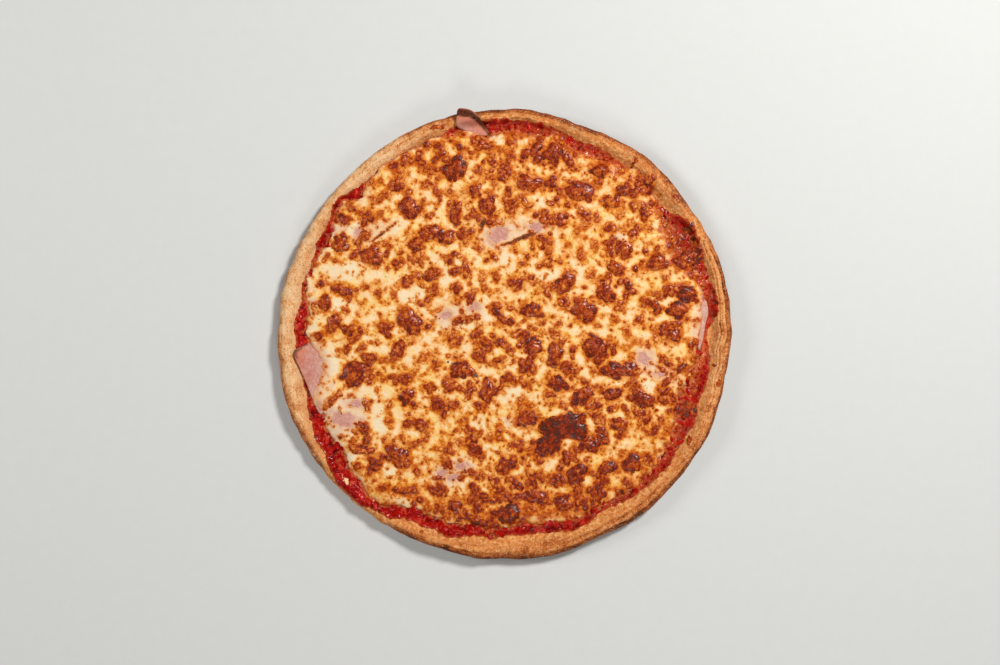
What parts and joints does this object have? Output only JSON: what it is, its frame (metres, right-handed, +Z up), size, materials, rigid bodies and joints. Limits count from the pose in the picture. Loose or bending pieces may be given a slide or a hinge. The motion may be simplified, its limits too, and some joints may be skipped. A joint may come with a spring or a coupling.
{
  "type": "ham and cheese pizza",
  "caption": "Whole baked pizza with a low uneven crust rim, tomato sauce showing round a blistered cheese layer, and slices of ham.",
  "frame": {"origin": "middle of the flat underside of the crust", "axes": "+Z up out of the toppings, +X and +Y in the plane it rests on, +Y towards the slice that sticks out over the rim"},
  "size_m": [0.3077, 0.3054, 0.0159],
  "materials": {
    "crust": "baked golden beige dough, dry and matt, browner at its edge and underside",
    "sauce": "cooked tomato sauce, deep red, wet and pulpy",
    "cheese": "melted cheese, cream to gold, with oily red-brown to dark brown blisters",
    "ham": "pink cured ham, moist, with a dark brown rind"
  },
  "bodies": {
    "root": {"crust": "crust", "sauce": "sauce", "cheese": "cheese", "ham_top": "ham", "ham_left": "ham", "ham_right": "ham", "ham_middle": "ham", "ham_centre_left": "ham", "ham_upper_left": "ham", "ham_lower_left": "ham", "ham_lower": "ham", "ham_right_inner": "ham"}
  },
  "joints": []
}
